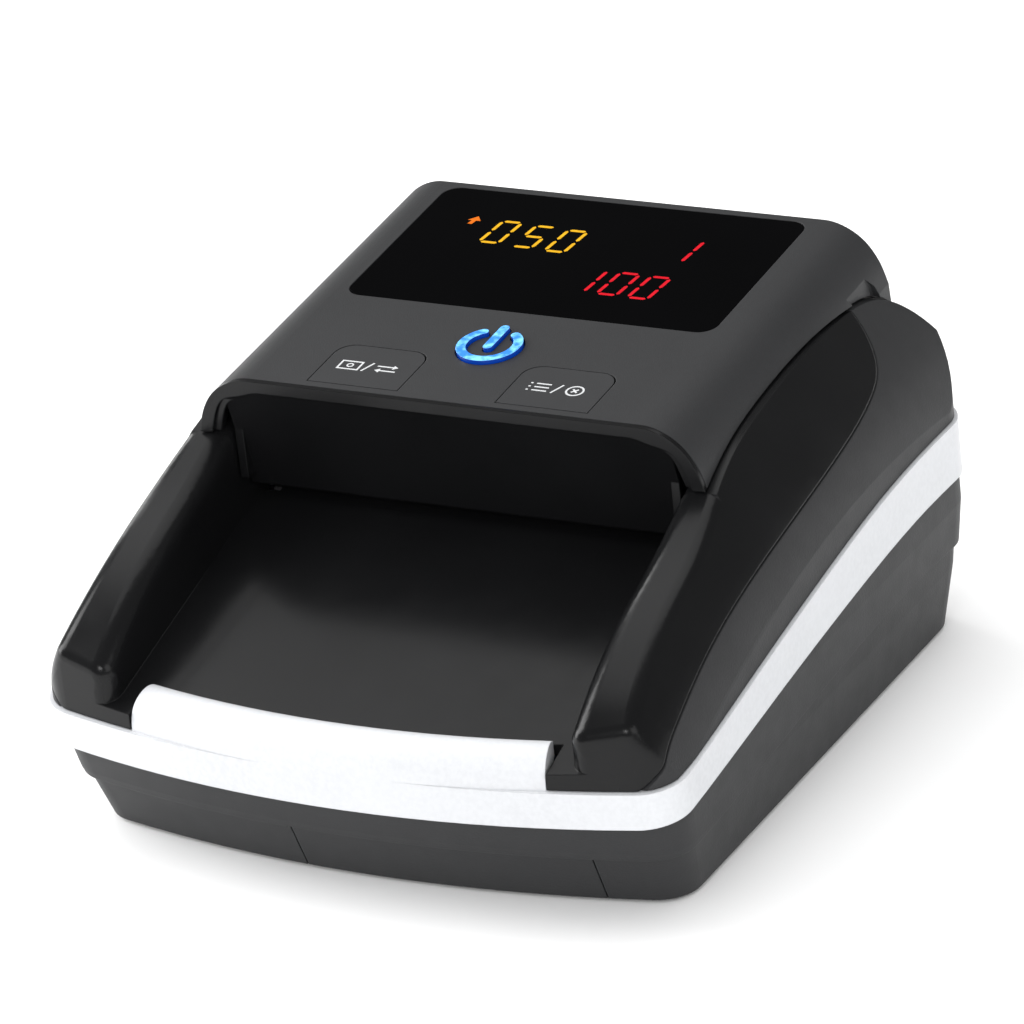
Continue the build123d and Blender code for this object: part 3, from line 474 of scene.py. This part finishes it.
MARK_U = {"left_key": -21.2, "right_key": 20.8}
MARK_V = 9.6
INK_LEVEL = (0.004, 0.03)
INK_WIDTH = 0.4


def circle(u, v, radius, count=24):
    turns = [2 * math.pi * i / count for i in range(count)]
    return [(u + radius * math.cos(t), v + radius * math.sin(t)) for t in turns]


def add_arrow(mesh, tail, head):
    """Straight arrow with a filled tip."""
    a = Vector(tail)
    b = Vector(head)
    along = (b - a).normalized()
    side = Vector((-along.y, along.x))
    neck = b - along * 1.1
    add_line(mesh, [tuple(a), tuple(neck)], INK_WIDTH, INK_LEVEL)
    add_prism(mesh, [tuple(b), tuple(neck + side * 0.75), tuple(neck - side * 0.75)], INK_LEVEL)


def mark_left(mesh, u, v):
    """A note outline, a slash and a pair of arrows."""
    box = [(u - 6.4, v - 1.5), (u - 1.9, v - 1.5), (u - 1.9, v + 1.5), (u - 6.4, v + 1.5)]
    add_line(mesh, box, INK_WIDTH, INK_LEVEL, closed=True)
    add_line(mesh, circle(u - 4.15, v, 0.62, 16), 0.32, INK_LEVEL, closed=True)
    add_line(mesh, [(u - 0.9, v - 1.7), (u + 0.5, v + 1.7)], INK_WIDTH, INK_LEVEL)
    add_arrow(mesh, (u + 1.7, v + 0.8), (u + 6.3, v + 0.8))
    add_arrow(mesh, (u + 6.3, v - 0.8), (u + 1.7, v - 0.8))


def mark_right(mesh, u, v):
    """A list, a slash and a cross."""
    for rise in (-1.3, 0.0, 1.3):
        add_line(mesh, [(u - 6.3, v + rise), (u - 5.8, v + rise)], INK_WIDTH, INK_LEVEL)
        add_line(mesh, [(u - 5.0, v + rise), (u - 1.8, v + rise)], INK_WIDTH, INK_LEVEL)
    add_line(mesh, [(u - 0.7, v - 1.7), (u + 0.7, v + 1.7)], INK_WIDTH, INK_LEVEL)
    add_line(mesh, circle(u + 3.9, v, 1.75, 28), INK_WIDTH, INK_LEVEL, closed=True)
    arm = 0.2
    tip = 0.85
    quarter = [(arm, arm), (arm, tip), (-arm, tip), (-arm, arm), (-tip, arm), (-tip, -arm),
               (-arm, -arm), (-arm, -tip), (arm, -tip), (arm, -arm), (tip, -arm), (tip, arm)]
    turn = math.sqrt(0.5)
    cross = [(u + 3.9 + (a - b) * turn, v + (a + b) * turn) for a, b in quarter]
    add_prism(mesh, cross, INK_LEVEL)


def make_marks():
    for name, draw in (("left_key", mark_left), ("right_key", mark_right)):
        mesh = bmesh.new()
        draw(mesh, MARK_U[name], MARK_V)
        finished(mesh, name + "_mark", INK, name)


# ---------------------------------------------------------------- main board

CHIPS = ((2.0, 22.0, 14.0, 14.0), (22.0, 40.0, 10.0, 8.0), (2.0, 46.0, 9.0, 6.0))
CANS = ((-2.0, -2.0, 3.0, 6.5), (8.0, -2.0, 3.0, 6.5), (30.0, 24.0, 2.4, 5.0))
CHIP_HEIGHT = 1.6
LEG_PITCH = 1.27
RESISTORS = 9
PLUG_PINS = 6
PIN_PITCH = 2.5
TOUCH = 0.01


def add_box(mesh, middle, size, bevel=0.1):
    """A block with broken edges that stands on middle; all in millimetres."""
    made = bmesh.ops.create_cube(mesh, size=1.0)
    for vert in made["verts"]:
        grown = (vert.co[i] * size[i] for i in range(3))
        vert.co = (Vector(grown) + Vector(middle) + Vector((0, 0, size[2] / 2))) * MM
    edges = list({edge for vert in made["verts"] for edge in vert.link_edges})
    bmesh.ops.bevel(mesh, geom=edges, offset=bevel * MM, segments=2, affect="EDGES")


def add_can(mesh, x, y, z, radius, height):
    """A capacitor can with a rolled groove near its foot."""
    profile = [(0.0, 0.0), (0.95, 0.0), (1.0, 0.04), (1.0, 0.14), (0.92, 0.18), (1.0, 0.22),
               (1.0, 0.94), (0.93, 1.0), (0.8, 1.0), (0.77, 0.97), (0.0, 0.97)]
    start = [mesh.verts.new(Vector((x + r * radius, y, z + h * height)) * MM) for r, h in profile]
    edges = [mesh.edges.new(pair) for pair in zip(start, start[1:])]
    bmesh.ops.spin(mesh, geom=start + edges, cent=Vector((x, y, z)) * MM, axis=(0, 0, 1), dvec=(0, 0, 0),
                   angle=2 * math.pi, steps=28)
    bmesh.ops.remove_doubles(mesh, verts=mesh.verts, dist=0.001 * MM)


def make_board_parts():
    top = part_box("main_board")[1][2] / MM + TOUCH
    bodies = bmesh.new()
    leads = bmesh.new()
    for x, y, wide, deep in CHIPS:
        add_box(bodies, (x, y, top + 0.15), (wide, deep, CHIP_HEIGHT), 0.15)
        count = int((wide - 1.0) / LEG_PITCH)
        for i in range(count):
            leg_x = x + (i - (count - 1) / 2) * LEG_PITCH
            for side in (-1, 1):
                add_box(leads, (leg_x, y + side * (deep / 2 + 0.55), top), (0.4, 1.1, 0.5), 0.05)
    add_box(bodies, (-18.0, 49.0, top), (18.0, 5.6, 5.0), 0.3)
    for i in range(PLUG_PINS):
        add_box(leads, (-24.25 + PIN_PITCH * i, 53.0, top), (0.64, 3.4, 0.64), 0.08)
    for i in range(RESISTORS):
        x = -30.0 + 3.2 * i
        y = 3.0 + 0.8 * (i % 3)
        add_box(bodies, (x, y, top), (1.2, 2.0, 0.55), 0.08)
        for side in (-1, 1):
            add_box(leads, (x, y + side * 1.2, top), (1.2, 0.4, 0.58), 0.05)
    cans = bmesh.new()
    for x, y, radius, height in CANS:
        add_can(cans, x, y, top, radius, height)
    finished(bodies, "main_board_chips", PART, "housing")
    finished(leads, "main_board_leads", TIN, "housing")
    finished(cans, "main_board_capacitors", TIN, "housing")


# ---------------------------------------------------------------- stage

FLOOR_HALF = 4.0
SKY_LEVEL = 0.92
SKY_REFLECTION = 0.22


def make_floor():
    s = Shader("floor_paper")
    s.set(Roughness=0.9, Specular_IOR_Level=0.1)
    tone = s.mix(s.levels(s.noise(60.0), 0.3, 0.7), (0.93, 0.93, 0.93), (0.96, 0.96, 0.96))
    s.finish(tone)
    mesh = bmesh.new()
    bmesh.ops.create_grid(mesh, x_segments=2, y_segments=2, size=FLOOR_HALF)
    data = bpy.data.meshes.new("floor")
    mesh.to_mesh(data)
    mesh.free()
    floor = bpy.data.objects.new("floor", data)
    bpy.context.scene.collection.objects.link(floor)
    data.materials.append(s.material)


def area_light(name, place, aim, size, power):
    light = bpy.data.lights.new(name, "AREA")
    light.shape = "RECTANGLE"
    light.size = size[0]
    light.size_y = size[1]
    light.energy = power
    holder = bpy.data.objects.new(name, light)
    bpy.context.scene.collection.objects.link(holder)
    holder.location = place
    facing = Vector(aim) - Vector(place)
    holder.rotation_euler = facing.to_track_quat("-Z", "Y").to_euler()


def make_lights():
    middle = (0.0, 0.0, 0.04)
    area_light("top_softbox", (-0.15, 0.25, 0.85), middle, (0.9, 0.6), 2.5)
    area_light("left_softbox", (-0.9, -0.15, 0.45), middle, (0.5, 0.9), 9.0)
    area_light("left_rim", (-0.78, 0.5, 0.5), middle, (0.12, 0.7), 1.6)
    area_light("right_fill", (0.85, -0.45, 0.5), middle, (0.6, 0.6), 2.0)
    area_light("front_fill", (0.2, -1.1, 0.62), middle, (0.45, 0.3), 3.4)
    world = bpy.data.worlds.new("studio")
    world.use_nodes = True
    tree = world.node_tree
    sky = tree.nodes["Background"]
    sky.inputs["Color"].default_value = (1.0, 1.0, 1.0, 1.0)
    rays = tree.nodes.new("ShaderNodeLightPath")
    level = tree.nodes.new("ShaderNodeMapRange")
    level.inputs["To Min"].default_value = SKY_LEVEL
    level.inputs["To Max"].default_value = SKY_REFLECTION
    tree.links.new(rays.outputs["Is Glossy Ray"], level.inputs["Value"])
    tree.links.new(level.outputs["Result"], sky.inputs["Strength"])
    bpy.context.scene.world = world


def make_camera():
    az = CAMERA_AZIMUTH
    el = CAMERA_ELEVATION
    back = Vector((math.sin(az) * math.cos(el), -math.cos(az) * math.cos(el), math.sin(el)))
    right = Vector((math.cos(az), math.sin(az), 0.0))
    up = back.cross(right)
    turned_right = right * math.cos(CAMERA_ROLL) + up * math.sin(CAMERA_ROLL)
    turned_up = up * math.cos(CAMERA_ROLL) - right * math.sin(CAMERA_ROLL)
    data = bpy.data.cameras.new("camera")
    data.lens = CAMERA_LENS
    data.sensor_width = 36.0
    data.clip_start = 0.05
    data.clip_end = 50.0
    camera = bpy.data.objects.new("camera", data)
    bpy.context.scene.collection.objects.link(camera)
    turn = Matrix((turned_right, turned_up, back)).transposed().to_4x4()
    place = (Vector(CAMERA_TARGET) + back * CAMERA_DISTANCE) * MM
    camera.matrix_world = Matrix.Translation(place) @ turn
    bpy.context.scene.camera = camera


make_camera()
dress_nodes()
make_display()
make_marks()
make_board_parts()
make_floor()
make_lights()
bpy.context.scene.view_settings.view_transform = "Standard"
